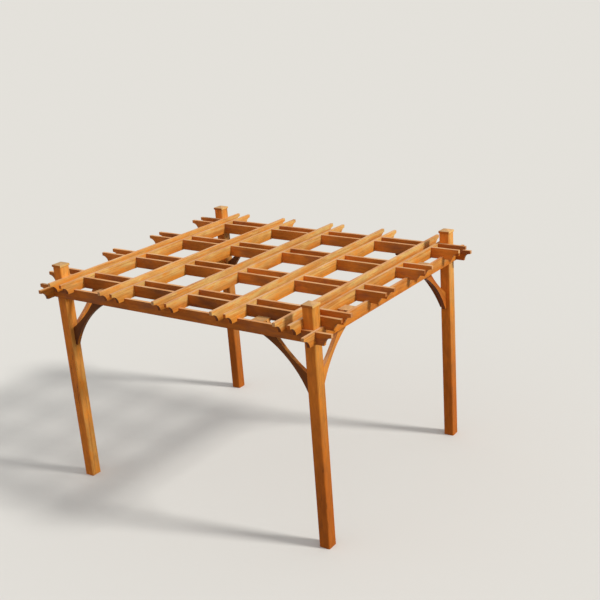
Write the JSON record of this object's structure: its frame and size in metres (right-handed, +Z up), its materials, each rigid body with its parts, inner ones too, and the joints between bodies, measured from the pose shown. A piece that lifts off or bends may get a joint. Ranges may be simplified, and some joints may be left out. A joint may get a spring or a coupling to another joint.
{
  "type": "wooden pergola",
  "caption": "Open timber pergola: capped square posts, arched knee braces and a flat roof grid of paired boards with coved ends, lapped over a ring of low beams.",
  "frame": {"origin": "on the ground, midway between the four posts", "axes": "+X left to right along the front, +Y from the front to the back, +Z up"},
  "size_m": [4.472, 3.786, 2.983],
  "materials": {
    "post_wood": "stained softwood post, slightly rough, with drying checks",
    "cap_wood": "stained softwood, paler where it faces up",
    "board_x_wood": "stained softwood board, flat grain running left to right",
    "board_y_wood": "stained softwood board, flat grain running front to back",
    "brace_x_wood": "stained softwood, band-sawn arch, grain along the brace",
    "brace_y_wood": "stained softwood, band-sawn arch, grain along the brace"
  },
  "bodies": {
    "root": {"beam_back": "board_x_wood", "beam_front": "board_x_wood", "beam_left": "board_y_wood", "beam_right": "board_y_wood", "brace_back_left": "brace_x_wood", "brace_back_right": "brace_x_wood", "brace_front_left": "brace_x_wood", "brace_front_right": "brace_x_wood", "brace_left_back": "brace_y_wood", "brace_left_front": "brace_y_wood", "brace_right_back": "brace_y_wood", "brace_right_front": "brace_y_wood", "cap_back_left": "cap_wood", "cap_back_right": "cap_wood", "cap_front_left": "cap_wood", "cap_front_right": "cap_wood", "post_back_left": "post_wood", "post_back_right": "post_wood", "post_front_left": "post_wood", "post_front_right": "post_wood", "purlin_1_back": "board_x_wood", "purlin_1_front": "board_x_wood", "purlin_2_back": "board_x_wood", "purlin_2_front": "board_x_wood", "purlin_3_back": "board_x_wood", "purlin_3_front": "board_x_wood", "purlin_4_back": "board_x_wood", "purlin_4_front": "board_x_wood", "rafter_1_left": "board_y_wood", "rafter_1_right": "board_y_wood", "rafter_2_left": "board_y_wood", "rafter_2_right": "board_y_wood", "rafter_3_left": "board_y_wood", "rafter_3_right": "board_y_wood", "rafter_4_left": "board_y_wood", "rafter_4_right": "board_y_wood", "rafter_5_left": "board_y_wood", "rafter_5_right": "board_y_wood"}
  },
  "joints": []
}
